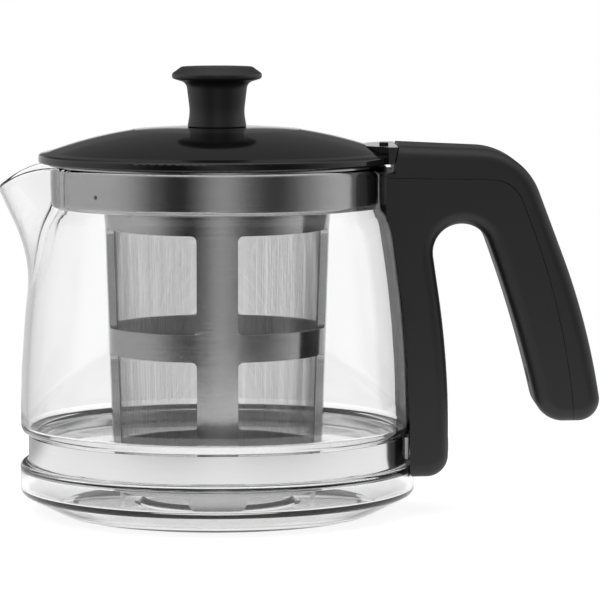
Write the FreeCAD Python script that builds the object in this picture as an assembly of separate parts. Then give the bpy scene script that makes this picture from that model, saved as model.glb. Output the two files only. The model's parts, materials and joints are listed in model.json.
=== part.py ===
import FreeCAD, Part

import math
import os

from FreeCAD import Vector

# The glass jug of a tea maker, with its handle, its lid and its infuser basket. Millimetres.
# +Z is up, +X points at the handle and -X at the spout. The origin is on the jug's axis,
# in the plane that it stands on. Heights end in _z and are above that plane.

# Glass jug
glass_wall = 2.5
belly_r = 72.8
shoulder_z = 36.0
neck_r = 62.6
neck_top_z = 128.3
neck_height = 13.5
rim_round = 0.8
# Shape of the side between shoulder and neck: share of the height, share of the way in.
side_shape = [(0.31, 0.088), (0.552, 0.245), (0.78, 0.48), (0.926, 0.765)]
foot_proud = 0.3
foot_low_z = 7.6
foot_top_z = 18.8
foot_slope_run = 14.9
groove_depth = 3.8
groove_height = 10.6
contact_width = 5.2
base_lift = 0.8
floor_wall = 2.1
kick_up = 2.2
kick_r = 30.0
shoulder_round = 3.2
foot_round = 2.5
foot_top_round = 1.6
inner_step = 1.25
inner_rise = 1.5
inner_round = 1.0

# Spout
spout_wall = 1.5
spout_nose_r = 21.0
spout_reach = 17.7
spout_tip_drop = 9.3
spout_lean = 0.46
spout_depth = 48.0
spout_root_x = 30.0
lip_bend = 6.9
lip_bend_round = 30.0
lip_slope = 0.7

# Steel band and its bracket
band_thick = 0.6
band_clear = 0.15
band_margin = 0.5
bracket_thick = 1.2
bracket_half_width = 12.0
bracket_margin = 0.8
bush_r = 4.5
bush_reach = 6.0

# Handle, measured from the foot of the jug and from the top of the handle
handle_gap = 0.3
handle_wall = 2.4
handle_round = 5.0
handle_rise = 8.1
handle_drop = 2.1
arch_x = 39.2
arch_round = 25.0
spine_x = 62.9
spine_z = 71.7
spine_round = 260.0
tip_x = 69.2
tip_low_z = 34.1
tip_outer_round = 8.0
tip_inner_x = 45.6
tip_inner_round = 11.0
grip_inner_x = 36.9
grip_inner_z = 70.9
grip_inner_round = 450.0
arch_depth = 29.1
gap_right_x = 23.95
gap_left_x = 4.2
gap_round = 10.5
leg_depth = 11.7
leg_bend_z = 56.6
leg_bend_round = 340.0
leg_low_z = 14.1
leg_round = 8.0
half_width_at_jug = 20.4
half_width_at_tip = 14.5
neck_stand_off = 2.6
ledge_drop = 2.3
seam_stand_off = 2.4
seam_lean = 0.22

# Cover along the spine of the handle
parting_gap = 0.15
parting_front_drop = 10.5
parting_drop = 12.9
parting_x = 35.7
parting_round = 12.0
parting_mid_x = 55.6
parting_mid_z = 72.5
parting_tip_x = 60.8

# Clearances between pieces that are stacked or screwed together
stack_clear = 0.05
thread_clear = 0.08

# Screws
cover_screw_r = 1.5
cover_screw_head_r = 2.9
cover_screw_head = 2.0
cover_screw_bite = 7.0
cover_boss_r = 4.0
arch_screw_x = 16.4
tip_screw_z = 50.0
tip_screw_inset = 7.5
handle_screw_r = 2.0
handle_screw_head_r = 3.4
handle_screw_head = 2.2
washer_thick = 0.8
screw_seat_wall = 3.0
cap_r = 4.2
cap_proud = 0.8
cap_thick = 2.4
cap_round = 0.7

# Silicone pad between handle and glass
pad_thick = 1.2
pad_clear = 0.1
pad_half_width = 13.7
pad_low_z = 50.0
pad_top_drop = 16.8

# Basket collar
collar_gap = 0.7
collar_sheet = 0.6
collar_depth = 15.5
collar_round = 2.0
collar_lip = 2.6
vent_r = 0.8
vent_angle = 224.0
vent_rise = 6.1

# Basket frame, mesh, floor and feet
frame_top_r = 41.7
frame_low_r = 38.4
frame_low_z = 8.9
frame_sheet = 0.8
frame_depth = 2.6
frame_seat = 3.3
frame_clear = 0.2
rib_width = 14.8
window_round = 2.0
window_count = 4
window_lip = 0.8
upper_window_drop = 9.1
ring_top_z = 68.7
ring_low_z = 59.0
lower_window_low_z = 24.8
mesh_thick = 0.3
mesh_clear = 0.05
mesh_top_drop = 1.4
floor_thick = 0.8
floor_edge = 4.0
floor_edge_thick = 0.6
floor_clear = 0.3
floor_rim = 7.4
floor_cross_width = 8.0
floor_mesh_lap = 2.0
foot_tab_inset = 2.4
foot_tab_thick = 1.5
foot_tab_width = 21.6
foot_tab_taper = 1.0
foot_tab_round = 4.0
foot_tab_low_z = 3.7
foot_tab_count = 4

# Lid
lid_overhang = 3.3
lid_rim_rise = 1.1
lid_rim_height = 3.1
lid_wall = 2.2
lid_rim_wall = 2.7
lid_rim_round = 1.3
dome_rise = 11.9
dome_mid_rise = 8.8
dome_end_inset = 3.9
dome_end_rise = 0.9
disc_r = 30.7
disc_recess = 1.8
disc_clear = 0.2
disc_crown = 0.9
disc_bulge = 0.675
tab_top_rise = 6.3
tab_inner_inset = 12.0
tab_inner_half_width = 9.9
tab_shoulder_inset = 3.4
seam_gap = 0.5
nub_inset = 4.4
nub_half_length = 1.7
nub_half_width = 3.2
nub_height = 0.9
nub_round = 0.4

# Lid liner, gasket and seal
skirt_gap = 1.2
skirt_wall = 1.8
skirt_depth = 9.4
skirt_round = 0.5
web_thick = 1.8
web_rise = 0.2
liner_boss_r = 7.0
liner_lip = 0.4
gasket_height = 3.0
gasket_rise = 2.0
gasket_groove = 0.5
gasket_clear = 0.4
gasket_fit = 0.05
seal_thick = 0.6

# Knob with its bush and screw
knob_height = 22.2
knob_stem_r = 10.0
knob_foot_r = 10.9
knob_neck_r = 11.3
knob_r = 16.6
knob_top_r = 13.1
knob_under = 5.9
knob_edge_low = 4.3
knob_edge_high = 2.5
knob_foot_round = 0.35
knob_waist_rise = 5.5
knob_waist_round = 16.0
knob_cove = 3.0
knob_rim_round = 1.25
knob_top_round = 1.0
insert_r = 3.65
insert_length = 10.4
insert_clear = 0.05
knob_screw_r = 2.0
knob_screw_hole_r = 2.3
knob_screw_head_r = 3.8
knob_screw_head = 2.6
knob_washer_r = 6.0
knob_screw_bite = 9.0

# Values that follow from the ones above
far = 300.0
sliver = 0.01
straight_share = 0.01
up = Vector(0, 0, 1)
along_x = Vector(1, 0, 0)
foot_r = belly_r + foot_proud
contact_r = foot_r - foot_slope_run
neck_low_z = neck_top_z - neck_height
groove_r = foot_r - groove_depth
groove_top_z = foot_top_z + groove_height
band_r = groove_r + band_clear
band_outer_r = band_r + band_thick
band_low_z = foot_top_z + band_margin
band_top_z = groove_top_z - band_margin
screw_z = (band_low_z + band_top_z) / 2
handle_top_z = neck_top_z + handle_rise
gap_top_z = handle_top_z - arch_depth
leg_x = foot_r + leg_depth
pad_high_z = neck_low_z - pad_top_drop
neck_clear_r = neck_r + neck_stand_off
seam_x = neck_r + seam_stand_off
ledge_z = neck_top_z - ledge_drop
collar_r = neck_r - glass_wall - collar_gap
collar_inner_r = collar_r - collar_sheet
collar_low_z = neck_top_z - collar_depth
collar_top_z = neck_top_z + collar_sheet
frame_top_z = collar_low_z + collar_sheet
floor_low_z = frame_low_z + stack_clear
floor_mesh_z = floor_low_z + floor_thick + mesh_clear
floor_hole_r = frame_low_r - floor_rim
lid_r = neck_r + lid_overhang
lid_low_z = neck_top_z + lid_rim_rise
lid_rim_z = lid_low_z + lid_rim_height
disc_z = lid_low_z + dome_rise
recess_z = disc_z - disc_recess
roof_z = recess_z - lid_wall
skirt_r = collar_inner_r - skirt_gap
web_low_z = collar_top_z + web_rise
web_top_z = web_low_z + web_thick
knob_low_z = disc_z + disc_crown
knob_top_z = knob_low_z + knob_height


def straight(a, b):
    return Part.LineSegment(Vector(a[0], 0, a[1]), Vector(b[0], 0, b[1])).toShape()


def arc(a, through, b):
    points = [Vector(p[0], 0, p[1]) for p in (a, through, b)]
    return Part.Arc(*points).toShape()


def smooth(points, start_direction, end_direction):
    """A curve in the XZ plane through the points, with the directions given at its ends."""
    curve = Part.BSplineCurve()
    curve.interpolate(
        Points=[Vector(x, 0, z) for x, z in points],
        InitialTangent=Vector(start_direction[0], 0, start_direction[1]),
        FinalTangent=Vector(end_direction[0], 0, end_direction[1]),
    )
    return curve.toShape()


def corner(before, point, after, radius):
    """Where a round of this radius at the point starts, its middle and where it ends."""
    to_before = Vector(before[0] - point[0], 0, before[1] - point[1]).normalize()
    to_after = Vector(after[0] - point[0], 0, after[1] - point[1]).normalize()
    half = to_before.getAngle(to_after) / 2
    tip = Vector(point[0], 0, point[1])
    reach = radius / math.tan(half)
    start = tip + to_before * reach
    end = tip + to_after * reach
    inward = (to_before + to_after).normalize()
    middle = tip + inward * (radius / math.sin(half) - radius)
    return [(p.x, p.z) for p in (start, middle, end)]


def reach(before, point, after):
    """How far the round at the point goes along both of its runs."""
    if len(point) < 3:
        return 0
    to_before = Vector(before[0] - point[0], 0, before[1] - point[1])
    to_after = Vector(after[0] - point[0], 0, after[1] - point[1])
    return point[2] / math.tan(to_before.getAngle(to_after) / 2)


def radii(points):
    """The radius at each inner corner, smaller than stated where two rounds would meet on a run."""
    reaches = [0] + [reach(*three) for three in zip(points, points[1:], points[2:])] + [0]
    shares = []
    for here, there, first, second in zip(points, points[1:], reaches, reaches[1:]):
        run = math.dist(here[:2], there[:2]) * (1 - straight_share)
        shares.append(min(1, run / max(first + second, sliver)))
    stated = [point[2] if len(point) == 3 else 0 for point in points[1:-1]]
    return [radius * min(pair) for radius, pair in zip(stated, zip(shares, shares[1:]))]


def path(points):
    """Straight runs through (x, z, radius) points, with each inner corner rounded."""
    edges = []
    here = points[0][:2]
    for before, point, after, radius in zip(points, points[1:], points[2:], radii(points)):
        if radius > 0:
            start, middle, end = corner(before, point, after, radius)
            edges.append(straight(here, start))
            edges.append(arc(start, middle, end))
            here = end
        else:
            edges.append(straight(here, point))
            here = point[:2]
    edges.append(straight(here, points[-1]))
    return edges


def closed(points):
    """The edges of a closed outline through (x, z, radius) points. The first corner is sharp."""
    return path(list(points) + [points[0]])


def face(edges):
    return Part.Face(Part.Wire(Part.__sortEdges__(edges)))


def turned(edges):
    return face(edges).revolve(Vector(0, 0, 0), up, 360)


def slab(edges, half_width):
    """A prism of the XZ outline, as far to each side of the XZ plane."""
    flat = face(edges)
    flat.translate(Vector(0, -half_width, 0))
    return flat.extrude(Vector(0, 2 * half_width, 0))


def box(low, high):
    size = Vector(*high) - Vector(*low)
    return Part.makeBox(size.x, size.y, size.z, Vector(*low))


def rod(radius, low, length, direction=up):
    return Part.makeCylinder(radius, length, Vector(*low), direction)


def tube(inner_r, outer_r, low, length, direction=up):
    return rod(outer_r, low, length, direction).cut(rod(inner_r, low, length, direction))


def spun(shape, count):
    """Copies of a shape, evenly spaced about the jug's axis."""
    copies = []
    for index in range(count):
        copy = shape.copy()
        copy.rotate(Vector(0, 0, 0), up, 360.0 * index / count)
        copies.append(copy)
    return copies


def save(name, shape):
    shape = shape.removeSplitter()
    solids = shape.Solids
    result = solids[0] if len(solids) == 1 else Part.makeCompound(solids)
    result.exportStep("parts/" + name + ".step")
    print(name, len(solids), "solid, volume", round(result.Volume, 1), "valid", result.isValid())


# Glass

def side_points(offset):
    """Points of the jug's side from the shoulder up to the neck, moved out by the offset."""
    points = [(belly_r + offset, shoulder_z)]
    for height, way_in in side_shape:
        z = shoulder_z + height * (neck_low_z - shoulder_z)
        points.append((belly_r - way_in * (belly_r - neck_r) + offset, z))
    points.append((neck_r + offset, neck_low_z))
    return points


def side(offset):
    return smooth(side_points(offset), (0, 1), (0, 1))


def vessel_outside():
    contact_inner_r = contact_r - contact_width
    base = path([
        (0, base_lift + kick_up),
        (kick_r - kick_up, base_lift + kick_up, kick_up),
        (kick_r, base_lift, kick_up),
        (contact_inner_r - base_lift, base_lift, base_lift),
        (contact_inner_r, 0),
        (contact_r, 0, foot_round),
        (foot_r, foot_low_z, foot_round),
        (foot_r, foot_top_z, foot_top_round),
        (groove_r, foot_top_z),
        (groove_r, groove_top_z),
        (belly_r, groove_top_z, shoulder_round),
        (belly_r, shoulder_z),
    ])
    neck = path([
        (neck_r, neck_low_z),
        (neck_r, neck_top_z, rim_round),
        (0, neck_top_z),
        (0, base_lift + kick_up),
    ])
    return turned(base + [side(0)] + neck)


def vessel_inside():
    floor_z = base_lift + floor_wall
    base = path([
        (0, floor_z + kick_up),
        (kick_r - kick_up, floor_z + kick_up, kick_up),
        (kick_r, floor_z, kick_up),
        (contact_r, floor_z, foot_round),
        (foot_r - glass_wall, foot_low_z + inner_rise, inner_round),
        (foot_r - glass_wall, foot_top_z - glass_wall, inner_round),
        (groove_r - glass_wall, foot_top_z - inner_step, inner_round),
        (groove_r - glass_wall, groove_top_z + inner_step, inner_round),
        (belly_r - glass_wall, groove_top_z + shoulder_round, inner_round),
        (belly_r - glass_wall, shoulder_z),
    ])
    neck = path([
        (neck_r - glass_wall, neck_low_z),
        (neck_r - glass_wall, neck_top_z + foot_round),
        (0, neck_top_z + foot_round),
        (0, floor_z + kick_up),
    ])
    return turned(base + [side(-glass_wall)] + neck)


def spout_outline(radius, centre_x, z):
    """The spout from above at one height: a round nose, with straight cheeks back into the jug."""
    left = Vector(centre_x, radius, z)
    right = Vector(centre_x, -radius, z)
    nose = Part.Arc(left, Vector(centre_x - radius, 0, z), right).toShape()
    root_right = Vector(-spout_root_x, -radius, z)
    root_left = Vector(-spout_root_x, radius, z)
    cheeks = Part.makePolygon([right, root_right, root_left, left])
    return Part.Wire([nose] + cheeks.Edges)


def spout_solid(inset):
    """The leaning spout, made smaller all round by the inset."""
    wires = []
    tip_z = neck_top_z - spout_tip_drop
    for z in (neck_top_z - spout_depth, neck_top_z + spout_tip_drop):
        tip = neck_r + spout_reach + (z - tip_z) * spout_lean
        wires.append(spout_outline(spout_nose_r - inset, spout_nose_r - tip, z))
    return Part.makeLoft(wires, True, True)


def above_lip():
    """Everything above the rim, which falls in a curve towards the tip of the spout."""
    bend_x = neck_r + lip_bend
    return slab(closed([
        (far, neck_top_z),
        (-bend_x, neck_top_z, lip_bend_round),
        (-far, neck_top_z - (far - bend_x) * lip_slope),
        (-far, far),
        (far, far),
    ]), far)


def glass_parts():
    """The vessel in two pieces that meet in a plane: the side above the shoulder and the base."""
    outside = vessel_outside().fuse(spout_solid(0).cut(above_lip()))
    inside = vessel_inside().fuse(spout_solid(spout_wall))
    vessel = outside.cut(inside)
    above = box((-far, -far, shoulder_z), (far, far, far))
    return vessel.common(above), vessel.cut(above)


# Band and bracket

def base_band():
    return tube(band_r, band_outer_r, (0, 0, band_low_z), band_top_z - band_low_z)


def band_bracket():
    low_z = band_low_z + bracket_margin
    height = band_top_z - band_low_z - 2 * bracket_margin
    inner_r = band_outer_r + stack_clear
    saddle = tube(inner_r, inner_r + bracket_thick, (0, 0, low_z), height)
    saddle = saddle.common(box((0, -bracket_half_width, 0), (far, bracket_half_width, far)))
    bush_x = inner_r + bracket_thick / 2
    bush = rod(bush_r, (bush_x, 0, screw_z), bush_reach - bracket_thick / 2, along_x)
    bore_x = inner_r + bracket_thick
    bore = rod(handle_screw_r + thread_clear, (bore_x, 0, screw_z), bush_reach, along_x)
    return saddle.fuse(bush).cut(bore)


# Handle

def handle_points():
    """The handle seen from the side: over the arch, round the tip and up the finger gap."""
    return [
        (neck_r - glass_wall, handle_top_z),
        (foot_r + arch_x, handle_top_z - handle_drop, arch_round),
        (foot_r + spine_x, spine_z, spine_round),
        (foot_r + tip_x, tip_low_z, tip_outer_round),
        (foot_r + tip_inner_x, tip_low_z, tip_inner_round),
        (foot_r + grip_inner_x, grip_inner_z, grip_inner_round),
        (foot_r + gap_right_x, gap_top_z, gap_round),
        (foot_r + gap_left_x, gap_top_z, gap_round),
        (leg_x, leg_bend_z, leg_bend_round),
        (leg_x, leg_low_z, leg_round),
        (neck_r - glass_wall, leg_low_z),
    ]


def half_width(x):
    """Half the width of the handle, which narrows steadily from the jug to the tip."""
    share = (x - foot_r) / tip_x
    return half_width_at_jug + share * (half_width_at_tip - half_width_at_jug)


def wedge(inset):
    """The handle seen from above, made smaller at both sides by the inset."""
    start_x = seam_x - leg_depth
    end_x = foot_r + tip_x + leg_depth
    start = half_width(start_x) - inset
    end = half_width(end_x) - inset
    plan = [(start_x, -start), (end_x, -end), (end_x, end), (start_x, start)]
    corners = [Vector(x, y, 0) for x, y in plan + plan[:1]]
    return Part.Face(Part.makePolygon(corners)).extrude(up * far)


def jug_clearance(offset):
    """The space that the handle keeps free for the jug and the lid's overhang."""
    low = path([
        (0, -far),
        (foot_r + offset, -far),
        (foot_r + offset, shoulder_z),
        (belly_r + offset, shoulder_z),
    ])
    high = path([(neck_r + offset, neck_low_z), (neck_r + offset, far), (0, far), (0, -far)])
    neck = rod(neck_clear_r + offset - handle_gap, (0, 0, -far), 2 * far)
    return turned(low + [side(offset)] + high).fuse(neck)


def seam_front(shift):
    """Everything in front of the seam between lid and handle, above the ledge."""
    x = seam_x + shift
    reach = far - lid_low_z
    return slab(closed([
        (0, ledge_z),
        (x, ledge_z),
        (x, lid_low_z),
        (x + reach * seam_lean, far),
        (0, far),
    ]), far)


def cover_zone(shift):
    """The side of the parting line that belongs to the cover, moved in by the shift."""
    front_z = handle_top_z - parting_front_drop - shift
    mid_x = foot_r + parting_mid_x - shift
    tip = foot_r + parting_tip_x - shift
    return slab(closed([
        (0, front_z),
        (foot_r + parting_x - shift, handle_top_z - parting_drop - shift, parting_round),
        (mid_x, parting_mid_z, spine_round),
        (tip, 0),
        (far, 0),
        (far, far),
        (0, far),
    ]), far)


def contour_edges(shape):
    """The edges between the flat sides of the handle and the surface that runs round it."""
    front_x = neck_r - glass_wall
    found = []
    for edge in shape.Edges:
        first = edge.Vertexes[0]
        last = edge.Vertexes[-1]
        on_sides = all(abs(abs(v.Y) - half_width(v.X)) < sliver for v in (first, last))
        one_side = first.Y * last.Y > 0
        at_front = max(first.X, last.X) < front_x + sliver
        if on_sides and one_side and not at_front:
            found.append(edge)
    return found


def handle_blank():
    blank = slab(closed(handle_points()), half_width_at_jug + handle_round)
    blank = blank.common(wedge(0))
    blank = blank.makeFillet(handle_round, contour_edges(blank))
    blank = blank.cut(jug_clearance(handle_gap))
    return blank.cut(seam_front(0))


def handle_cavity():
    outline = Part.Wire(Part.__sortEdges__(closed(handle_points())))
    inner = Part.Face(outline.makeOffset2D(-handle_wall))
    inner.translate(Vector(0, -half_width_at_jug, 0))
    cavity = inner.extrude(Vector(0, 2 * half_width_at_jug, 0))
    cavity = cavity.common(wedge(handle_wall))
    glass_side = handle_gap + pad_thick + handle_wall
    cavity = cavity.cut(jug_clearance(glass_side))
    cavity = cavity.cut(seam_front(handle_wall))
    return cavity.cut(box((0, -far, 0), (leg_x + handle_wall, far, shoulder_z)))


def arch_screw_place():
    """Start of the head, its direction and the distance from there to the parting line."""
    x = foot_r + arch_screw_x
    parting_z = handle_top_z - parting_drop
    start_z = gap_top_z + handle_wall - cover_screw_head
    return (x, 0, start_z), up, parting_z - start_z


def tip_screw_place():
    start_x = foot_r + grip_inner_x + tip_screw_inset
    parting = foot_r + parting_tip_x - cover_screw_head
    return (start_x, 0, tip_screw_z), along_x, parting - start_x


def cover_screw(place, direction, run):
    head = rod(cover_screw_head_r, place, cover_screw_head, direction)
    slot = rod(cover_screw_r, place, cover_screw_head / 2, direction)
    shank = rod(cover_screw_r, place, run + cover_screw_bite, direction)
    return head.fuse(shank).cut(slot)


def cover_screws():
    screws = [cover_screw(*arch_screw_place()), cover_screw(*tip_screw_place())]
    return Part.makeCompound(screws)


def screw_posts(inside):
    """Posts that run through the hollow handle round both screws of the cover."""
    posts = []
    for place, direction, run in (arch_screw_place(), tip_screw_place()):
        posts.append(rod(cover_boss_r, place, run + cover_screw_bite + handle_wall, direction))
    return posts[0].fuse(posts[1]).common(inside)


def screw_holes():
    holes = []
    for place, direction, run in (arch_screw_place(), tip_screw_place()):
        start = Vector(*place)
        back = start - direction * far
        end = far + cover_screw_head
        head_r = cover_screw_head_r + thread_clear
        holes.append(Part.makeCylinder(head_r, end, back, direction))
        shank_r = cover_screw_r + thread_clear
        length = run + cover_screw_bite + thread_clear
        holes.append(Part.makeCylinder(shank_r, length, start, direction))
    return holes


def seat_x():
    return band_outer_r + stack_clear + bush_reach + thread_clear


def bracket_room():
    """Pocket for the bush and the stepped hole for screw, washer and cap."""
    pocket_r = bush_r + band_margin / 2
    pocket = rod(pocket_r, (0, 0, screw_z), seat_x(), along_x)
    hole = rod(handle_screw_r + thread_clear, (0, 0, screw_z), far, along_x)
    head = rod(cap_r + thread_clear, (seat_x() + screw_seat_wall, 0, screw_z), far, along_x)
    return pocket.fuse(hole).fuse(head)


def pad_room():
    outer = handle_gap + pad_thick + pad_clear
    half = pad_half_width + handle_gap
    window = box((0, -half, pad_low_z - handle_gap), (far, half, pad_high_z + handle_gap))
    return jug_clearance(outer).common(window)


def handle_parts():
    blank = handle_blank()
    cavity = handle_cavity()
    posts = screw_posts(cavity)
    hollow = blank.cut(cavity).fuse(posts)
    for hole in screw_holes():
        hollow = hollow.cut(hole)
    shell = hollow.cut(cover_zone(parting_gap)).cut(bracket_room()).cut(pad_room())
    cover = hollow.common(cover_zone(0))
    return shell, cover


def handle_screw():
    seat = seat_x() + screw_seat_wall + washer_thick
    start = band_outer_r + stack_clear + bracket_thick + thread_clear
    shank = rod(handle_screw_r, (start, 0, screw_z), seat - start + washer_thick, along_x)
    head = rod(handle_screw_head_r, (seat, 0, screw_z), handle_screw_head, along_x)
    slot_x = seat + handle_screw_head / 2
    slot = rod(handle_screw_r, (slot_x, 0, screw_z), handle_screw_head, along_x)
    return shank.fuse(head).cut(slot)


def handle_washer():
    place = (seat_x() + screw_seat_wall, 0, screw_z)
    inner_r = handle_screw_r + thread_clear
    return tube(inner_r, handle_screw_head_r + band_margin, place, washer_thick, along_x)


def screw_cap():
    place = (leg_x + cap_proud - cap_thick, 0, screw_z)
    plug = rod(cap_r, place, cap_thick, along_x)
    outer = [edge for edge in plug.Edges if edge.CenterOfMass.x > leg_x]
    return plug.makeFillet(cap_round, outer)


def handle_pad():
    ring = jug_clearance(pad_clear + pad_thick).cut(jug_clearance(pad_clear))
    window = box((0, -pad_half_width, pad_low_z), (far, pad_half_width, pad_high_z))
    return ring.common(window)


# Infuser basket

def basket_collar():
    flange_r = collar_r + collar_lip
    shape = turned(closed([
        (flange_r, neck_top_z),
        (collar_r, neck_top_z),
        (collar_r, collar_low_z, collar_round),
        (frame_top_r + frame_clear, collar_low_z),
        (frame_top_r + frame_clear, frame_top_z),
        (collar_inner_r, frame_top_z, collar_round - collar_sheet),
        (collar_inner_r, collar_top_z),
        (flange_r, collar_top_z),
    ]))
    turn = math.radians(vent_angle)
    outward = Vector(math.cos(turn), math.sin(turn), 0)
    vent = rod(vent_r, (0, 0, collar_low_z + vent_rise), far, outward)
    return shape.cut(vent)


def frame_r(z):
    share = (z - frame_low_z) / (frame_top_z - frame_low_z)
    return frame_low_r + share * (frame_top_r - frame_low_r)


def tapered(low_z, high_z, outer_inset, inner_inset):
    """A tapered tube that lies between two insets from the outside of the frame."""
    return turned(closed([
        (frame_r(low_z) - inner_inset, low_z),
        (frame_r(low_z) - outer_inset, low_z),
        (frame_r(high_z) - outer_inset, high_z),
        (frame_r(high_z) - inner_inset, high_z),
    ]))


def window(low_z, high_z, grow):
    """One window between two ribs, with corners that are round seen from either rib."""
    start = rib_width / 2 - grow
    low = low_z - grow
    high = high_z + grow
    radius = window_round + grow
    outline = closed([
        (far, low),
        (start, low, radius),
        (start, high, radius),
        (far, high),
    ])
    seen_from_y = face(outline).extrude(Vector(0, far, 0))
    seen_from_x = seen_from_y.mirror(Vector(0, 0, 0), Vector(1, -1, 0))
    return seen_from_y.common(seen_from_x)


def windows(grow):
    tiers = [(lower_window_low_z, ring_low_z), (ring_top_z, frame_top_z - upper_window_drop)]
    shapes = []
    for low_z, high_z in tiers:
        shapes += spun(window(low_z, high_z, grow), window_count)
    return shapes


def basket_frame():
    sheet = tapered(frame_low_z, frame_top_z, 0, frame_sheet)
    seat = tube(frame_top_r - frame_sheet, frame_top_r + frame_seat, (0, 0, frame_top_z), frame_sheet)
    deep = tapered(frame_low_z, frame_top_z, frame_sheet / 2, frame_depth)
    lips = deep.common(Part.makeCompound(windows(window_lip)))
    frame = sheet.fuse(seat).fuse(lips)
    return frame.cut(Part.makeCompound(windows(0)))


def mesh_sleeve():
    inset = frame_depth + mesh_clear
    low_z = floor_mesh_z + mesh_thick + mesh_clear
    return tapered(low_z, frame_top_z - mesh_top_drop, inset, inset + mesh_thick)


def basket_floor():
    outer_r = frame_r(floor_low_z) - frame_sheet - floor_clear
    plate = rod(outer_r, (0, 0, floor_low_z), floor_thick)
    edge = tube(outer_r - floor_edge_thick, outer_r, (0, 0, floor_low_z), floor_edge)
    hole = rod(floor_hole_r, (0, 0, 0), far)
    half = floor_cross_width / 2
    cross = box((-far, -half, 0), (far, half, far)).fuse(box((-half, -far, 0), (half, far, far)))
    return plate.cut(hole.cut(cross)).fuse(edge)


def floor_mesh():
    return rod(floor_hole_r + floor_mesh_lap, (0, 0, floor_mesh_z), mesh_thick)


def basket_feet():
    half = foot_tab_width / 2
    end = half - foot_tab_taper
    tab = face(closed([
        (-half, frame_low_z),
        (half, frame_low_z),
        (end, foot_tab_low_z, foot_tab_round),
        (-end, foot_tab_low_z, foot_tab_round),
    ]))
    tab.translate(Vector(0, foot_tab_inset - frame_low_r, 0))
    return Part.makeCompound(spun(tab.extrude(Vector(0, foot_tab_thick, 0)), foot_tab_count))


# Lid

def dome(drop):
    """Middle point of the dome's arc and its lower end, moved down by the drop."""
    end_r = lid_r - dome_end_inset
    mid_r = (disc_r + end_r) / 2
    return (mid_r, lid_low_z + dome_mid_rise - drop), (end_r, lid_rim_z + dome_end_rise - drop)


def under_dome():
    """Outline of the hollow under the dome, closed at the axis."""
    middle, end = dome(lid_wall)
    wall_r = lid_r - lid_rim_wall
    top = (disc_r + lid_rim_wall, disc_z - lid_wall - disc_clear)
    inside_r = min(end[0], wall_r)
    edges = path([(0, -far), (wall_r, -far), (wall_r, end[1] - lid_rim_round), (inside_r, end[1])])
    edges.append(arc((inside_r, end[1]), middle, top))
    edges += path([top, (top[0], roof_z), (0, roof_z), (0, -far)])
    return edges


def lid_dome():
    middle, end = dome(0)
    edges = path([
        (0, lid_low_z),
        (lid_r, lid_low_z, lid_rim_round / 2),
        (lid_r, lid_rim_z, lid_rim_round),
        end,
    ])
    edges.append(arc(end, middle, (disc_r + disc_clear, disc_z)))
    edges += path([
        (disc_r + disc_clear, disc_z),
        (disc_r + disc_clear, recess_z),
        (0, recess_z),
        (0, lid_low_z),
    ])
    return turned(edges)


def lid_tab():
    inner_x = lid_r - tab_inner_inset
    full = half_width(seam_x)
    plan = [
        (inner_x - tab_inner_half_width, 0),
        (inner_x, tab_inner_half_width),
        (lid_r - tab_shoulder_inset, full),
        (lid_r + lid_overhang, full),
    ]
    corners = [(x, -y) for x, y in plan] + [(x, y) for x, y in reversed(plan[1:])]
    ring = [Vector(x, y, lid_low_z) for x, y in corners + corners[:1]]
    return Part.Face(Part.makePolygon(ring)).extrude(up * tab_top_rise)


def lid_nub():
    nub_x = lid_r - nub_inset
    straight_half = nub_half_width - nub_half_length
    z = lid_low_z + tab_top_rise - nub_round
    height = nub_height + nub_round
    middle = box(
        (nub_x - nub_half_length, -straight_half, z),
        (nub_x + nub_half_length, straight_half, z + height),
    )
    left = rod(nub_half_length, (nub_x, -straight_half, z), height)
    right = rod(nub_half_length, (nub_x, straight_half, z), height)
    nub = middle.fuse(left).fuse(right).removeSplitter()
    top = [edge for edge in nub.Edges if edge.BoundBox.ZMin > z + height - sliver]
    return nub.makeFillet(nub_round, top)


def lid_shell():
    hollow = turned(under_dome())
    solid = lid_dome().fuse(lid_tab()).fuse(lid_nub()).cut(hollow)
    behind_seam = box((0, -far, 0), (far, far, far)).cut(seam_front(-seam_gap))
    solid = solid.cut(behind_seam.common(box((0, -far, ledge_z), (far, far, far))))
    return solid.cut(rod(knob_screw_hole_r, (0, 0, 0), far))


def lid_disc():
    low_z = recess_z + stack_clear
    seat_r = knob_foot_r + knob_foot_round
    mid_r = (seat_r + disc_r) / 2
    edges = path([
        (knob_screw_hole_r, knob_low_z),
        (knob_screw_hole_r, low_z),
        (disc_r, low_z),
        (disc_r, disc_z),
    ])
    edges.append(arc((disc_r, disc_z), (mid_r, disc_z + disc_bulge), (seat_r, knob_low_z)))
    edges.append(straight((seat_r, knob_low_z), (knob_screw_hole_r, knob_low_z)))
    return turned(edges)


def lid_liner():
    flange_r = collar_r + collar_lip - liner_lip
    inner_r = skirt_r - skirt_wall
    skirt_low_z = collar_top_z - skirt_depth
    groove_low_z = skirt_low_z + gasket_rise
    groove_high_z = groove_low_z + gasket_height
    groove = skirt_r - gasket_groove
    return turned(closed([
        (knob_screw_hole_r, web_low_z),
        (inner_r, web_low_z),
        (inner_r, skirt_low_z, skirt_round),
        (skirt_r, skirt_low_z, skirt_round),
        (skirt_r, groove_low_z),
        (groove, groove_low_z),
        (groove, groove_high_z),
        (skirt_r, groove_high_z),
        (skirt_r, collar_top_z),
        (flange_r, collar_top_z),
        (flange_r, web_top_z),
        (liner_boss_r, web_top_z),
        (liner_boss_r, roof_z - stack_clear),
        (knob_screw_hole_r, roof_z - stack_clear),
    ]))


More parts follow.
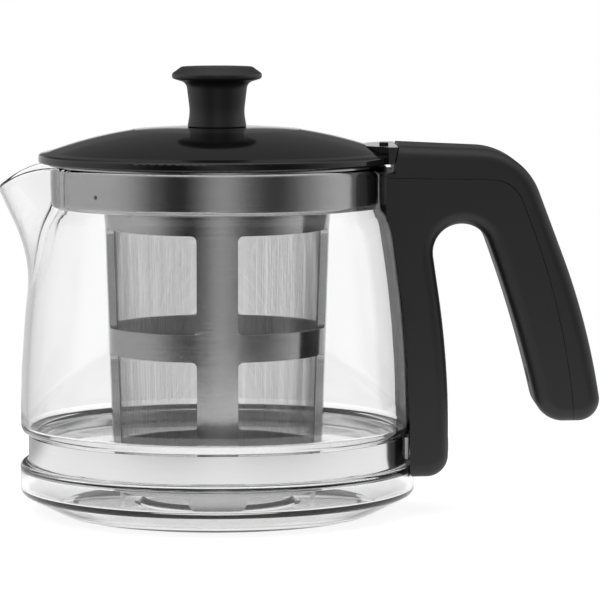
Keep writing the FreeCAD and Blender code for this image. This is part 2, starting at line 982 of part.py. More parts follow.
def lid_gasket():
    low_z = collar_top_z - skirt_depth + gasket_rise + gasket_fit
    high_z = low_z + gasket_height - 2 * gasket_fit
    inner_r = skirt_r - gasket_groove + gasket_fit
    outer_r = collar_inner_r - gasket_clear
    return turned(closed([
        (inner_r, low_z),
        (skirt_r, low_z),
        (outer_r, (low_z + high_z) / 2, gasket_clear),
        (skirt_r, high_z),
        (inner_r, high_z),
    ]))


def lid_seal():
    low_z = web_low_z - stack_clear - seal_thick
    return tube(knob_screw_hole_r, knob_washer_r, (0, 0, low_z), seal_thick)


def washer_z():
    return web_low_z - 2 * stack_clear - seal_thick - washer_thick


def knob_washer():
    inner_r = knob_screw_r + thread_clear
    return tube(inner_r, knob_washer_r, (0, 0, washer_z()), washer_thick)


def knob_screw():
    head_z = washer_z() - stack_clear - knob_screw_head
    head = rod(knob_screw_head_r, (0, 0, head_z), knob_screw_head)
    slot = rod(knob_screw_r, (0, 0, head_z), knob_screw_head / 2)
    top_z = knob_low_z + knob_screw_bite
    shank = rod(knob_screw_r, (0, 0, head_z), top_z - head_z)
    return head.fuse(shank).cut(slot)


def knob_insert():
    inner_r = knob_screw_r + thread_clear
    return tube(inner_r, insert_r, (0, 0, knob_low_z + stack_clear), insert_length)


def knob():
    bore_r = insert_r + insert_clear
    bore_top_z = knob_low_z + insert_length + 2 * stack_clear
    low_z = knob_low_z + stack_clear
    under_z = knob_top_z - knob_under
    return turned(closed([
        (0, bore_top_z),
        (bore_r, bore_top_z),
        (bore_r, low_z),
        (knob_foot_r, low_z, knob_foot_round),
        (knob_stem_r, low_z + knob_waist_rise, knob_waist_round),
        (knob_neck_r, under_z, knob_cove),
        (knob_r, knob_top_z - knob_edge_low, knob_rim_round),
        (knob_r, knob_top_z - knob_edge_high, knob_rim_round),
        (knob_top_r, knob_top_z, knob_top_round),
        (0, knob_top_z),
    ]))


def main():
    os.makedirs("parts", exist_ok=True)
    side_glass, base_glass = glass_parts()
    save("glass_jug", side_glass)
    save("glass_base", base_glass)
    save("base_band", base_band())
    save("band_bracket", band_bracket())
    shell, cover = handle_parts()
    save("handle_shell", shell)
    save("handle_cover", cover)
    save("cover_screws", cover_screws())
    save("handle_screw", handle_screw())
    save("handle_washer", handle_washer())
    save("screw_cap", screw_cap())
    save("handle_pad", handle_pad())
    save("basket_collar", basket_collar())
    save("basket_frame", basket_frame())
    save("mesh_sleeve", mesh_sleeve())
    save("basket_floor", basket_floor())
    save("floor_mesh", floor_mesh())
    save("basket_feet", basket_feet())
    save("lid_shell", lid_shell())
    save("lid_disc", lid_disc())
    save("lid_liner", lid_liner())
    save("lid_gasket", lid_gasket())
    save("lid_seal", lid_seal())
    save("knob", knob())
    save("knob_insert", knob_insert())
    save("knob_screw", knob_screw())
    save("knob_washer", knob_washer())


main()
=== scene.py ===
import json
import math

import bpy
import numpy as np
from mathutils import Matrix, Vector


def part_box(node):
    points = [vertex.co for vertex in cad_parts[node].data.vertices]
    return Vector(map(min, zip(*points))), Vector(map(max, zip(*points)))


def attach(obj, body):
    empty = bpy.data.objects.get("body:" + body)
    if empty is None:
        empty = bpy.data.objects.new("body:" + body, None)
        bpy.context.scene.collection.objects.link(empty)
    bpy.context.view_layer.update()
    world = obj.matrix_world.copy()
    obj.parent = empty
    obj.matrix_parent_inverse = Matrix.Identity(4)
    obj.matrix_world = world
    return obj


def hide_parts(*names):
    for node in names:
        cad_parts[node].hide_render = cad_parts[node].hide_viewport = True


# Looks of the tea maker jug: clear glass, brushed steel, satin and polished black mouldings.
# The scene is in metres, with +Z up, the spout at -X and the handle at +X. Sizes of the object
# and of the lens are named here in millimetres, and places, reliefs and the studio in metres.

MM = 0.001

# Camera
CAMERA_PIVOT = (0.0, 0.0, 0.0780)
CAMERA_TARGET = (0.0306, 0.0, 0.0780)
CAMERA_DISTANCE = 1.426
CAMERA_ELEVATION = 5.4
CAMERA_LENS = 231.0
CAMERA_SENSOR = 36.0
CAMERA_REACH = 20.0

# Base of the glass vessel as (radius, height, rounding), from the middle out and up
BASE_OUTSIDE = [
    (1.0, 3.0), (27.8, 3.0, 2.2), (30.0, 0.8, 2.2), (52.2, 0.8, 0.8), (53.0, 0.0),
    (58.2, 0.0, 2.5), (73.1, 7.6, 2.5), (73.1, 18.8, 1.6), (69.3, 18.8), (69.3, 29.4),
    (72.8, 29.4, 3.2), (72.8, 36.0),
]
BASE_INSIDE = [
    (1.0, 5.1), (27.8, 5.1, 2.2), (30.0, 2.9, 2.2), (58.2, 2.9, 2.5), (70.6, 9.1, 1.0),
    (70.6, 16.3, 1.0), (66.8, 17.55, 1.0), (66.8, 30.65, 1.0), (70.3, 32.6, 1.0),
    (70.3, 36.0),
]
CORNER_STEPS = 6

# Side of the glass vessel. Its shape is given as (share of the height, share of the way in).
WALL = 2.5
BELLY_R = 72.8
SHOULDER_Z = 36.0
NECK_R = 62.6
NECK_LOW_Z = 114.8
NECK_TOP_Z = 128.3
SIDE_SHAPE = [(0.31, 0.088), (0.552, 0.245), (0.78, 0.48), (0.926, 0.765)]
SIDE_ROWS = 60
RIM_STEPS = 8

# Spout and the rim that falls towards it
SPOUT_WALL = 1.5
SPOUT_NOSE_R = 21.0
SPOUT_TIP_X = 80.3
SPOUT_TIP_Z = 119.0
SPOUT_LEAN = 0.46
SPOUT_SECTOR = 48.0
SPOUT_COLUMNS = 121
OTHER_COLUMNS = 151
LEAST_SINE = 0.001
CREASE = 8.0
LIP_BEND_X = 69.5
LIP_BEND_ROUND = 30.0
LIP_SLOPE = 0.7
LIP_ROUNDS = 60

# Fine mesh of the basket, and the tube that it lines. The shift is a share of the pitch.
MESH_PITCH = 0.36
MESH_WIRE = 0.042
MESH_SHIFT = 0.22
MESH_SEED = 5
RING_STEPS = 80
TUBE_TOP_R = 41.7
TUBE_TOP_Z = 113.4
TUBE_LOW_R = 38.4
TUBE_LOW_Z = 8.9

# Webs inside the handle, along the seam between its shell and its cover, as (x, z, rounding)
WEB_LINE = [(70.0, 124.4), (108.8, 123.5, 12.0), (128.7, 72.5, 260.0), (133.9, 0.0)]
WEB_LOW_Z = 37.0
WEB_STEPS = 24
WEB_REACH = 3.0
WEB_PLACES = (-7.0, 6.0)
WEB_THICKNESS = 1.0

# The span of a noise that is spread over the whole range of a colour or a roughness
NOISE_LOW = 0.3
NOISE_HIGH = 0.7

# Glass, with slight waves
GLASS_IOR = 1.5
GLASS_TINT = (0.5, 0.51, 0.51, 1)
GLASS_DENSITY = 14.0
WAVE_SCALE = 45.0
WAVE_DETAIL = 1.0
WAVE_DEPTH = 0.00006

# Brushed steel has lines round the axis, turned metal a finer grain, and mouldings a cloudiness
LINE_SCALE = 60.0
LINE_STRETCH = (1, 1, 70)
LINE_DETAIL = 4.0
LINE_ROUGHNESS = 0.6
QUARTER_TURN = 0.25
TURNED_SCALE = 900.0
TURNED_DETAIL = 4.0
CLOUD_SCALE = 35.0
GRAIN_DETAIL = 2.0

# Studio. Light level of the surroundings by the angle in degrees from the camera's side,
# where plus is towards the handle.
ROUND_LIGHT = [
    (-180, 1.00), (-168, 0.90), (-150, 0.68), (-120, 0.78), (-95, 0.84), (-75, 0.80), (-60, 0.58),
    (-48, 0.28), (-38, 0.12), (-28, 0.05), (-20, 0.09), (-10, 0.34), (0, 0.58), (10, 0.56),
    (20, 0.32), (30, 0.16), (38, 0.10), (48, 0.13), (60, 0.32), (75, 0.62), (90, 0.84),
    (105, 0.86), (120, 0.80), (150, 0.68), (168, 0.90), (180, 1.00),
]

# Levels above, by how far a direction points back. The lean moves their lower edge up in front.
TOP_FRONT = 1.6
TOP_BACK = 0.14
TOP_SPAN = (-0.6, 0.85)
OVERHEAD_LEAN = 0.436
OVERHEAD_SPAN = (0.466, 0.71)

# Level under the horizon, and the shade right behind the jug above the horizon
BELOW_LIGHT = 0.85
BELOW_SPAN = (-0.06, 0.02)
SHADE_RISE = (0.03, 0.10)
SHADE_BACK = (0.93, 0.985)

# Floor: a disc just under the jug, which shows less of its glow behind the jug when mirrored
FLOOR_REACH = 0.32
FLOOR_SIDES = 96
FLOOR_Z = -0.0003
FLOOR_TONE = 0.25
FLOOR_GLOW = 0.89
FLOOR_BEHIND = 0.25
FLOOR_BEHIND_SPAN = (0.07, 0.15)

# A ray that has met fewer surfaces of a kind than this counts as having met none
BARELY_MET = 0.5

# Lamps as name, place, size and power. All face the same point.
LAMPS = [
    ("key_light", (-0.9, -1.1, 1.2), 0.8, 8.0),
    ("fill_light", (1.1, -1.0, 0.9), 0.8, 4.0),
    ("top_light", (0.0, 0.3, 1.6), 1.0, 8.0),
]
LAMP_AIM = (0.02, 0, 0.07)

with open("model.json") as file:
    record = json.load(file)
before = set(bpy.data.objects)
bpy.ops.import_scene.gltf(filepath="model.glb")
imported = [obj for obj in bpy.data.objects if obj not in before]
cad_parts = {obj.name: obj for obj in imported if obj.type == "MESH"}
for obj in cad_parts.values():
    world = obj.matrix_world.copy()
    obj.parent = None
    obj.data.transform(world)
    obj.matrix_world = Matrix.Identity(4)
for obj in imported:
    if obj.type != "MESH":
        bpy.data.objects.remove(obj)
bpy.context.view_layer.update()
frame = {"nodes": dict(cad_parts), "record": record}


# Node helpers

def add(tree, kind, **values):
    """A new node with its inputs set by name. Spaces in names are written as underscores."""
    node = tree.nodes.new(kind)
    set_inputs(node, values)
    return node


def set_inputs(node, values):
    for name, value in values.items():
        node.inputs[name.replace("_", " ")].default_value = value


def join(tree, source, output, target, name):
    tree.links.new(source.outputs[output], target.inputs[name])


def object_axes(tree, space):
    """Sockets X, Y and Z of the point in its own space, or of the direction in a world."""
    place = tree.nodes.new("ShaderNodeTexCoord")
    axes = tree.nodes.new("ShaderNodeSeparateXYZ")
    join(tree, place, space, axes, "Vector")
    return axes.outputs


def principled(name, color, **values):
    material = bpy.data.materials.new(name)
    material.use_nodes = True
    tree = material.node_tree
    shader = tree.nodes["Principled BSDF"]
    shader.inputs["Base Color"].default_value = (*color, 1.0)
    set_inputs(shader, values)
    return material, tree, shader


def noise(tree, scale, stretch=(1, 1, 1), detail=3.0, roughness=0.5):
    """Noise in the object's own metres, squeezed along each axis by the stretch."""
    place = tree.nodes.new("ShaderNodeTexCoord")
    mapping = add(tree, "ShaderNodeMapping", Scale=stretch)
    texture = add(tree, "ShaderNodeTexNoise", Scale=scale, Detail=detail, Roughness=roughness)
    join(tree, place, "Object", mapping, "Vector")
    join(tree, mapping, "Vector", texture, "Vector")
    return texture


def spread_node(tree, source, span, low, high):
    """Turns a value that runs over the span into one that runs from low to high."""
    spread = add(
        tree, "ShaderNodeMapRange", From_Min=span[0], From_Max=span[1], To_Min=low, To_Max=high)
    tree.links.new(source, spread.inputs["Value"])
    return spread


def smooth_ramp(tree, source, span, low=0.0, high=1.0):
    spread = spread_node(tree, source, span, low, high)
    spread.interpolation_type = "SMOOTHSTEP"
    return spread.outputs["Result"]


def vary_roughness(tree, texture, shader, low, high):
    """Lets the noise move the roughness between two values."""
    spread = spread_node(tree, texture.outputs["Fac"], (NOISE_LOW, NOISE_HIGH), low, high)
    join(tree, spread, "Result", shader, "Roughness")


def tint(tree, texture, shader, dark, light):
    """Lets the noise move the base colour between two colours."""
    ramp = tree.nodes.new("ShaderNodeValToRGB")
    first, last = ramp.color_ramp.elements
    first.position = NOISE_LOW
    first.color = (*dark, 1.0)
    last.position = NOISE_HIGH
    last.color = (*light, 1.0)
    join(tree, texture, "Fac", ramp, "Fac")
    join(tree, ramp, "Color", shader, "Base Color")


def bump(tree, texture, shader, depth):
    """Raises the surface by the noise, by this many metres."""
    relief = add(tree, "ShaderNodeBump", Strength=1.0, Distance=depth)
    join(tree, texture, "Fac", relief, "Height")
    join(tree, relief, "Normal", shader, "Normal")


# Materials, one for each slot of the record

def grey(level):
    return (level, level, level)


def clear_glass(name):
    material, tree, shader = principled(
        name, grey(1.0), Roughness=0.0, IOR=GLASS_IOR, Transmission_Weight=1.0)
    bump(tree, noise(tree, WAVE_SCALE, detail=WAVE_DETAIL), shader, WAVE_DEPTH)
    depth = add(tree, "ShaderNodeVolumeAbsorption", Color=GLASS_TINT, Density=GLASS_DENSITY)
    join(tree, depth, "Volume", tree.nodes["Material Output"], "Volume")
    return material


def brushed(name, dark, light, rough, anisotropy, depth):
    """Steel with fine lines round the jug's axis, which draw reflections out up and down."""
    material, tree, shader = principled(
        name, light, Metallic=1.0, Anisotropic=anisotropy, Anisotropic_Rotation=QUARTER_TURN)
    direction = tree.nodes.new("ShaderNodeTangent")
    direction.direction_type = "RADIAL"
    direction.axis = "Z"
    join(tree, direction, "Tangent", shader, "Tangent")
    lines = noise(tree, LINE_SCALE, LINE_STRETCH, LINE_DETAIL, LINE_ROUGHNESS)
    tint(tree, lines, shader, dark, light)
    vary_roughness(tree, lines, shader, *rough)
    bump(tree, lines, shader, depth)
    return material


def turned(name, color, dark, light, rough, stretch):
    """Metal turned or rolled to small parts: a fine grain and no relief."""
    material, tree, shader = principled(name, color, Metallic=1.0)
    grain = noise(tree, TURNED_SCALE, (1, 1, stretch), TURNED_DETAIL)
    tint(tree, grain, shader, dark, light)
    vary_roughness(tree, grain, shader, *rough)
    return material


def moulded(name, dark, light, rough, grain_scale, depth):
    """Moulded plastic or rubber: an even colour, a slight cloudiness and a fine grain."""
    material, tree, shader = principled(name, light)
    tint(tree, noise(tree, CLOUD_SCALE), shader, dark, light)
    grain = noise(tree, grain_scale, detail=GRAIN_DETAIL)
    vary_roughness(tree, grain, shader, *rough)
    bump(tree, grain, shader, depth)
    return material


def make_materials():
    return {
        "glass": clear_glass("clear_glass"),
        "band_steel": brushed(
            "band_steel", dark=grey(0.66), light=grey(0.72), rough=(0.12, 0.17),
            anisotropy=0.3, depth=0.000001),
        "plain_steel": turned(
            "turned_steel", (0.55, 0.55, 0.56), dark=(0.46, 0.46, 0.47),
            light=(0.62, 0.62, 0.63), rough=(0.24, 0.38), stretch=4),
        "brushed_steel": brushed(
            "basket_steel", dark=grey(0.39), light=grey(0.44), rough=(0.13, 0.18),
            anisotropy=0.4, depth=0.0000003),
        "steel_mesh": brushed(
            "mesh_steel", dark=grey(0.56), light=grey(0.64), rough=(0.3, 0.4),
            anisotropy=0.0, depth=0.0000005),
        "satin_black": moulded(
            "satin_black", dark=grey(0.011), light=grey(0.013), rough=(0.40, 0.50),
            grain_scale=2600.0, depth=0.000012),
        "gloss_black": moulded(
            "gloss_black", dark=grey(0.004), light=grey(0.005), rough=(0.07, 0.11),
            grain_scale=160.0, depth=0.000002),
        "liner_black": moulded(
            "liner_black", dark=grey(0.018), light=grey(0.022), rough=(0.25, 0.33),
            grain_scale=900.0, depth=0.000005),
        "silicone": moulded(
            "soft_silicone", dark=grey(0.05), light=grey(0.06), rough=(0.6, 0.7),
            grain_scale=1500.0, depth=0.00001),
        "brass": turned(
            "turned_brass", (0.72, 0.52, 0.22), dark=(0.60, 0.42, 0.17),
            light=(0.76, 0.56, 0.26), rough=(0.25, 0.4), stretch=5),
    }


def dress_nodes(materials):
    """Gives every CAD node the material of its slot in the record."""
    for part in frame["record"]["subparts"]:
        node = frame["nodes"][part["node"]]
        node.data.materials.clear()
        node.data.materials.append(materials[part["material_slot"]])


# Mesh helpers

def make_object(name, points, faces, material, smooth=True):
    mesh = bpy.data.meshes.new(name)
    mesh.from_pydata([tuple(p) for p in points], [], [tuple(f) for f in faces])
    mesh.validate()
    mesh.update()
    mesh.materials.append(material)
    mesh.polygons.foreach_set("use_smooth", [smooth] * len(mesh.polygons))
    shown = bpy.data.objects.new(name, mesh)
    bpy.context.scene.collection.objects.link(shown)
    return shown


def grid_faces(rows, columns):
    """Quads between rows of points that close on themselves."""
    faces = []
    for row in range(rows - 1):
        for column in range(columns):
            after = (column + 1) % columns
            low = row * columns
            high = low + columns
            faces.append((low + column, low + after, high + after, high + column))
    return faces


def rounded(points, steps=CORNER_STEPS):
    """A line through the points, where a third number gives the rounding of a corner."""
    line = [points[0][:2]]
    for before, point, after in zip(points, points[1:], points[2:]):
        if len(point) < 3:
            line.append(point)
            continue
        radius = point[2]
        tip = Vector(point[:2])
        to_before = (Vector(before[:2]) - tip).normalized()
        to_after = (Vector(after[:2]) - tip).normalized()
        half = to_before.angle(to_after) / 2
        arc = (math.pi / 2 - half) * 2
        reach = radius / math.tan(half)
        centre = tip + (to_before + to_after).normalized() * (radius / math.sin(half))
        start = tip + to_before * reach - centre
        end = tip + to_after * reach - centre
        for step in range(steps + 1):
            share = step / steps
            spoke = start * math.sin((1 - share) * arc) + end * math.sin(share * arc)
            line.append(tuple(centre + spoke.normalized() * radius))
    line.append(points[-1][:2])
    return line


# Glass vessel

def side_radius(heights):
    """Outer radius of the side, by a smooth curve that is upright at both of its ends."""
    span = NECK_LOW_Z - SHOULDER_Z
    z = [SHOULDER_Z] + [SHOULDER_Z + share * span for share, way in SIDE_SHAPE] + [NECK_LOW_Z]
    inward = [0.0] + [way for share, way in SIDE_SHAPE] + [1.0]
    r = [BELLY_R - way * (BELLY_R - NECK_R) for way in inward]
    z, r = np.array(z), np.array(r)
    step = np.diff(z)
    slope = np.diff(r) / step
    count = len(z)
    matrix = np.eye(count)
    right = np.zeros(count)
    for i in range(1, count - 1):
        matrix[i, i - 1] = step[i]
        matrix[i, i] = 2 * (step[i - 1] + step[i])
        matrix[i, i + 1] = step[i - 1]
        right[i] = 3 * (step[i] * slope[i - 1] + step[i - 1] * slope[i])
    tangent = np.linalg.solve(matrix, right)
    height = np.clip(heights, z[0], z[-1])
    index = np.clip(np.searchsorted(z, height, side="right") - 1, 0, count - 2)
    share = (height - z[index]) / step[index]
    curve = r[index] * (1 + 2 * share) * (1 - share) ** 2
    curve += r[index + 1] * share ** 2 * (3 - 2 * share)
    curve += tangent[index] * step[index] * share * (1 - share) ** 2
    curve -= tangent[index + 1] * step[index] * share ** 2 * (1 - share)
    return curve


def spout_distance(turns, heights, inset):
    """How far the spout's round nose or its straight cheeks lie from the axis, or far inside."""
    radius = SPOUT_NOSE_R - inset
    centre = SPOUT_TIP_X + (heights - SPOUT_TIP_Z) * SPOUT_LEAN - SPOUT_NOSE_R
    towards = -np.cos(turns)
    cheek = radius / np.maximum(np.abs(np.sin(turns)), LEAST_SINE)
    along = centre * towards
    nose = along + np.sqrt(np.maximum(along ** 2 - centre ** 2 + radius ** 2, 0))
    distance = np.where(cheek * towards < centre, cheek, nose)
    return np.where(towards > 0, distance, -BELLY_R)


def vessel_radius(turns, heights, wall=0, spout_wall=0):
    """Radius of the vessel with its spout, inside these walls, with a rounded crease."""
    body = side_radius(heights) - wall
    spout = spout_distance(turns, heights, spout_wall)
    near = np.maximum(CREASE - np.abs(body - spout), 0) / CREASE
    return np.maximum(body, spout) + near ** 2 * CREASE / 4


def column_turns():
    """Directions round the axis, closer together over the spout."""
    sector = math.radians(SPOUT_SECTOR)
    close = np.linspace(math.pi - sector, math.pi + sector, SPOUT_COLUMNS)
    wide = np.linspace(math.pi + sector, 3 * math.pi - sector, OTHER_COLUMNS)[1:-1]
    return np.concatenate([close, wide])


def lip_fall(x):
    """How far the rim has fallen at this distance towards the tip of the spout."""
    slope = math.atan(LIP_SLOPE)
    reach = LIP_BEND_ROUND * math.tan(slope / 2)
    start = LIP_BEND_X - reach
    end = LIP_BEND_X + reach * math.cos(slope)
    along = np.clip(x - start, 0, end - start)
    curved = LIP_BEND_ROUND - np.sqrt(LIP_BEND_ROUND ** 2 - along ** 2)
    return np.where(x > end, (x - LIP_BEND_X) * LIP_SLOPE, curved)


def lip_height(turns):
    """Height of the rim, found in rounds because the spout's reach depends on it."""
    height = np.full_like(turns, NECK_TOP_Z)
    for _ in range(LIP_ROUNDS):
        x = -vessel_radius(turns, height, WALL / 2, SPOUT_WALL / 2) * np.cos(turns)
        height = (height + NECK_TOP_Z - lip_fall(x)) / 2
    return height


def round_rows(turns, line):
    return [(np.full_like(turns, r), np.full_like(turns, z)) for r, z in line]


def glass_rows(turns):
    """Rings of (radius, height) for the whole vessel, from under the base to its inside."""
    lip = lip_height(turns)
    thickness = vessel_radius(turns, lip) - vessel_radius(turns, lip, WALL, SPOUT_WALL)
    half = np.clip(thickness, SPOUT_WALL, WALL) / 2
    top = lip - half
    outside = []
    inside = []
    for share in np.linspace(0, 1, SIDE_ROWS)[1:]:
        height = SHOULDER_Z + share * (top - SHOULDER_Z)
        outside.append((vessel_radius(turns, height), height))
        inside.append((vessel_radius(turns, height, WALL, SPOUT_WALL), height))
    outer_r = outside[-1][0]
    inner_r = inside[-1][0]
    middle = (outer_r + inner_r) / 2
    rim = []
    for step in range(1, RIM_STEPS):
        angle = math.pi * step / RIM_STEPS
        rim.append((middle + (outer_r - middle) * math.cos(angle), top + half * math.sin(angle)))
    below = round_rows(turns, rounded(BASE_OUTSIDE))
    within = round_rows(turns, rounded(BASE_INSIDE))
    return below + outside + rim + inside[::-1] + within[::-1]


def make_vessel(material):
    turns = column_turns()
    rows = glass_rows(turns)
    points = []
    for radius, height in rows:
        ring = np.stack([radius * np.cos(turns), radius * np.sin(turns), height], axis=1)
        points.append(ring * MM)
    count = len(turns)
    faces = grid_faces(len(rows), count)
    last = (len(rows) - 1) * count
    faces.append(tuple(range(count - 1, -1, -1)))
    faces.append(tuple(range(last, last + count)))
    vessel = make_object("blown_vessel", np.concatenate(points), faces, material)
    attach(vessel, "jug")
    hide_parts("glass_jug", "glass_base")


# Fine mesh. A wire is its corner points, the number of steps along it, and whether it is a ring.

def wire_points(line, across, half):
    """Corners of a square wire along a line of points. Across gives two directions at each point."""
    first, second = across
    corners = [first + second, first - second, -first - second, -first + second]
    return np.concatenate([line + half * c for c in corners])


def ring_wire(radius, height, half):
    angle = np.linspace(0, 2 * math.pi, RING_STEPS, endpoint=False)
    out = np.stack([np.cos(angle), np.sin(angle), np.zeros(RING_STEPS)], axis=1)
    line = out * radius + np.array([0, 0, height])
    return wire_points(line, (out, np.array([0, 0, 1.0])), half), RING_STEPS, True


def straight_wire(start, end, side, lift, half):
    line = np.array([start, end], float)
    across = (np.array(side, float), np.array(lift, float))
    return wire_points(line, across, half), len(line), False


def tube_faces(offset, steps, is_ring):
    faces = []
    spans = steps if is_ring else steps - 1
    for side in range(4):
        low = offset + side * steps
        high = offset + (side + 1) % 4 * steps
        for step in range(spans):
            after = (step + 1) % steps
            faces.append((low + step, low + after, high + after, high + step))
    if not is_ring:
        for step in (0, steps - 1):
            faces.append(tuple(offset + side * steps + step for side in range(4)))
    return faces


def collect(wires):
    """Points and faces of many wires in one mesh."""
    points = []
    faces = []
    offset = 0
    for corners, steps, is_ring in wires:
        faces += tube_faces(offset, steps, is_ring)
        points.append(corners)
        offset += len(corners)
    return np.concatenate(points) * MM, faces


def make_sleeve(material):
    """Upright wires with rings inside them, on the taper of the basket's tube."""
    low, high = (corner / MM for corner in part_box("mesh_sleeve"))
    top_r = high.x - MESH_WIRE
    low_r = top_r - (TUBE_TOP_R - TUBE_LOW_R) * (high.z - low.z) / (TUBE_TOP_Z - TUBE_LOW_Z)
    half = MESH_WIRE / 2
    wires = []
    count = round(2 * math.pi * top_r / MESH_PITCH)
    shift = np.random.default_rng(MESH_SEED).uniform(-MESH_SHIFT, MESH_SHIFT, count)
    for index in range(count):
        turn = 2 * math.pi * (index + shift[index]) / count
        out = np.array([math.cos(turn), math.sin(turn), 0])
        side = np.array([-math.sin(turn), math.cos(turn), 0])
        start = out * low_r + np.array([0, 0, low.z])
        end = out * top_r + np.array([0, 0, high.z])
        wires.append(straight_wire(start, end, side, out, half))
    rings = round((high.z - low.z) / MESH_PITCH)
    for index in range(rings + 1):
        share = index / rings
        height = low.z + half + share * (high.z - low.z - MESH_WIRE)
        radius = low_r + share * (top_r - low_r) - MESH_WIRE
        wires.append(ring_wire(radius, height, half))
    points, faces = collect(wires)
    sleeve = make_object("woven_sleeve", points, faces, material, smooth=False)
    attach(sleeve, "basket")
    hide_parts("mesh_sleeve")


def make_floor_mesh(material):
    """Two layers of straight wires that cross inside the round of the basket's floor."""
    low, high = (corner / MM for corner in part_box("floor_mesh"))
    radius = high.x
    half = MESH_WIRE / 2
    middle_z = (low.z + high.z) / 2
    lift = (0, 0, 1)
    wires = []
    count = int(radius / MESH_PITCH)
    for index in range(-count, count + 1):
        across = index * MESH_PITCH
        reach = math.sqrt(radius ** 2 - across ** 2)
        along_x = ((-reach, across, middle_z + half), (reach, across, middle_z + half))
        along_y = ((across, -reach, middle_z - half), (across, reach, middle_z - half))
        wires.append(straight_wire(*along_x, (0, 1, 0), lift, half))
        wires.append(straight_wire(*along_y, (1, 0, 0), lift, half))
    wires.append(ring_wire(radius - half, middle_z, half * 2))
    points, faces = collect(wires)
    disc = make_object("woven_disc", points, faces, material, smooth=False)
    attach(disc, "basket")
    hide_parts("floor_mesh")


# Webs in the handle

def make_webs(material):
    """Two thin webs in the hollow handle, behind its seam, so that no light passes through."""
    line = np.array([point for point in rounded(WEB_LINE, WEB_STEPS) if point[1] > WEB_LOW_Z])
    along = np.gradient(line, axis=0)
    along /= np.linalg.norm(along, axis=1, keepdims=True)
    across = np.stack([-along[:, 1], along[:, 0]], axis=1) * WEB_REACH
    corners = ((1, 0), (-1, 0), (-1, WEB_THICKNESS), (1, WEB_THICKNESS))
    points = []
    for place in WEB_PLACES:
        for centre, side in zip(line, across):
            for sign, y in corners:
                x, z = centre + sign * side
                points.append((x * MM, (place + y) * MM, z * MM))
    ring = len(corners)
    count = len(line) * ring
    faces = []
    for start in (0, count):
        faces += [tuple(start + corner for corner in face) for face in grid_faces(len(line), ring)]
        faces.append(tuple(start + corner for corner in reversed(range(ring))))
        faces.append(tuple(start + count - ring + corner for corner in range(ring)))
    webs = make_object("seam_webs", points, faces, material, smooth=False)
    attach(webs, "jug")


# Studio

def make_camera():
    data = bpy.data.cameras.new("camera")
    data.lens = CAMERA_LENS
    data.sensor_width = CAMERA_SENSOR
    data.sensor_fit = "HORIZONTAL"
    data.clip_end = CAMERA_REACH
    camera = bpy.data.objects.new("camera", data)
    bpy.context.scene.collection.objects.link(camera)
    tilt = math.radians(CAMERA_ELEVATION)
    away = Vector((0, -math.cos(tilt), math.sin(tilt)))
    camera.location = Vector(CAMERA_PIVOT) + away * CAMERA_DISTANCE
    aim = Vector(CAMERA_TARGET) - camera.location
    camera.rotation_euler = aim.to_track_quat("-Z", "Y").to_euler()
    bpy.context.scene.camera = camera


def math_node(tree, operation, *values):
    """One step of arithmetic. Each value is a number or an output socket."""
    node = tree.nodes.new("ShaderNodeMath")
    node.operation = operation
    for place, value in enumerate(values):
        if isinstance(value, (int, float)):
            node.inputs[place].default_value = value
        else:
            tree.links.new(value, node.inputs[place])
    return node.outputs[0]


def seen_directly(tree):
    """1 for rays that come straight from the eye or only through glass, else 0."""
    path = tree.nodes.new("ShaderNodeLightPath").outputs
    turns = math_node(tree, "ADD", path["Glossy Depth"], path["Diffuse Depth"])
    straight = math_node(tree, "LESS_THAN", turns, BARELY_MET)
    either = math_node(tree, "MAXIMUM", path["Is Camera Ray"], path["Is Transmission Ray"])
    return math_node(tree, "MULTIPLY", straight, either)


def seen_or_mirrored(tree):
    """1 for rays that have met no diffuse surface yet, else 0."""
    path = tree.nodes.new("ShaderNodeLightPath").outputs
    sharp = math_node(tree, "LESS_THAN", path["Diffuse Depth"], BARELY_MET)
    either = math_node(tree, "MAXIMUM", path["Is Camera Ray"], path["Is Transmission Ray"])
    either = math_node(tree, "MAXIMUM", either, path["Is Glossy Ray"])
    return math_node(tree, "MULTIPLY", sharp, either)


def blend(tree, factor, low, high):
    """A mix of two levels. Each is a number or an output socket."""
    mix = tree.nodes.new("ShaderNodeMix")
    mix.data_type = "FLOAT"
    tree.links.new(factor, mix.inputs["Factor"])
    for place, level in ((2, low), (3, high)):
        if isinstance(level, float):
            mix.inputs[place].default_value = level
        else:
            tree.links.new(level, mix.inputs[place])
    return mix.outputs[0]


def level_round_about(tree, axes):
    """The light level of the surroundings by compass direction."""
    towards_camera = math_node(tree, "MULTIPLY", axes["Y"], -1.0)
    angle = math_node(tree, "ARCTAN2", axes["X"], towards_camera)
    share = math_node(tree, "MULTIPLY_ADD", angle, 0.5 / math.pi, 0.5)
    ramp = tree.nodes.new("ShaderNodeValToRGB")
    ramp.color_ramp.interpolation = "CARDINAL"
    stops = ramp.color_ramp.elements
    for degrees, level in ROUND_LIGHT[1:-1]:
        stops.new(degrees / 360 + 0.5)
    for stop, (degrees, level) in zip(stops, ROUND_LIGHT):
        stop.color = (*grey(level), 1)
    tree.links.new(share, ramp.inputs["Fac"])
    return ramp.outputs["Color"]


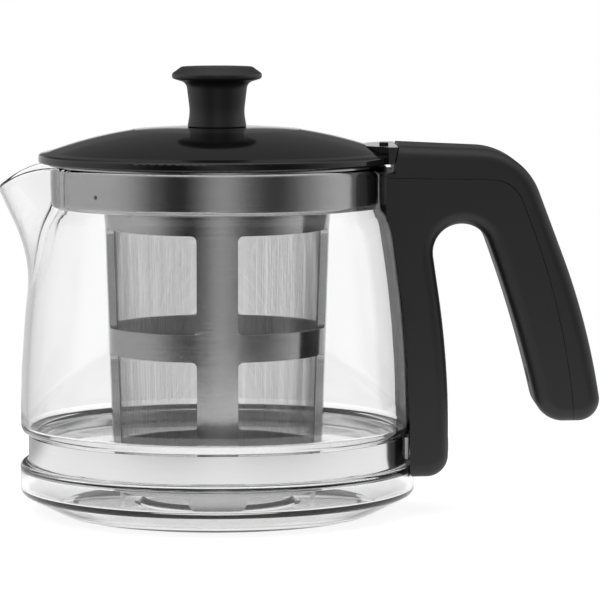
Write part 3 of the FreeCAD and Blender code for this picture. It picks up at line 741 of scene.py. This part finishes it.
def make_world():
    world = bpy.data.worlds.new("studio")
    bpy.context.scene.world = world
    world.use_nodes = True
    tree = world.node_tree
    tree.nodes.clear()
    axes = object_axes(tree, "Generated")
    below = smooth_ramp(tree, axes["Z"], BELOW_SPAN, BELOW_LIGHT)
    around = math_node(tree, "MULTIPLY", level_round_about(tree, axes), below)
    above = smooth_ramp(tree, axes["Y"], TOP_SPAN, TOP_FRONT, TOP_BACK)
    lean = math_node(tree, "MULTIPLY_ADD", axes["Y"], OVERHEAD_LEAN, axes["Z"])
    level = blend(tree, smooth_ramp(tree, lean, OVERHEAD_SPAN), around, above)
    risen = smooth_ramp(tree, axes["Z"], SHADE_RISE)
    behind = smooth_ramp(tree, axes["Y"], SHADE_BACK)
    shade = math_node(tree, "MULTIPLY", risen, behind)
    level = blend(tree, shade, level, TOP_BACK)
    level = blend(tree, seen_directly(tree), level, 1.0)
    light = add(tree, "ShaderNodeBackground", Color=(1, 1, 1, 1))
    tree.links.new(level, light.inputs["Strength"])
    output = tree.nodes.new("ShaderNodeOutputWorld")
    join(tree, light, "Background", output, "Surface")


def floor_material():
    material = bpy.data.materials.new("pale_floor")
    material.use_nodes = True
    tree = material.node_tree
    tree.nodes.clear()
    body = add(tree, "ShaderNodeBsdfDiffuse", Color=(*grey(FLOOR_TONE), 1))
    glow = add(tree, "ShaderNodeEmission", Color=(1, 1, 1, 1))
    axes = object_axes(tree, "Object")
    behind = smooth_ramp(tree, axes["Y"], FLOOR_BEHIND_SPAN, 1.0, FLOOR_BEHIND)
    mirrored = math_node(tree, "MULTIPLY", seen_or_mirrored(tree), behind)
    shown = math_node(tree, "MAXIMUM", seen_directly(tree), mirrored)
    strength = math_node(tree, "MULTIPLY", shown, FLOOR_GLOW)
    tree.links.new(strength, glow.inputs["Strength"])
    total = tree.nodes.new("ShaderNodeAddShader")
    tree.links.new(body.outputs[0], total.inputs[0])
    tree.links.new(glow.outputs[0], total.inputs[1])
    output = tree.nodes.new("ShaderNodeOutputMaterial")
    join(tree, total, "Shader", output, "Surface")
    return material


def make_floor():
    turn = 2 * math.pi / FLOOR_SIDES
    points = [
        (FLOOR_REACH * math.cos(i * turn), FLOOR_REACH * math.sin(i * turn), FLOOR_Z)
        for i in range(FLOOR_SIDES)
    ]
    faces = [tuple(range(FLOOR_SIDES))]
    floor = make_object("floor", points, faces, floor_material(), smooth=False)


def make_lamp(name, place, size, power):
    """A square soft light that faces the jug, and shows in no reflection or glass."""
    data = bpy.data.lights.new(name, "AREA")
    data.shape = "SQUARE"
    data.size = size
    data.energy = power
    shown = bpy.data.objects.new(name, data)
    bpy.context.scene.collection.objects.link(shown)
    shown.location = place
    facing = Vector(LAMP_AIM) - Vector(place)
    shown.rotation_euler = facing.to_track_quat("-Z", "Y").to_euler()
    shown.visible_glossy = False
    shown.visible_transmission = False


def main():
    bpy.context.scene.view_settings.view_transform = "Standard"
    materials = make_materials()
    dress_nodes(materials)
    make_vessel(materials["glass"])
    make_sleeve(materials["steel_mesh"])
    make_floor_mesh(materials["steel_mesh"])
    make_webs(materials["satin_black"])
    make_camera()
    make_world()
    make_floor()
    for lamp in LAMPS:
        make_lamp(*lamp)


main()
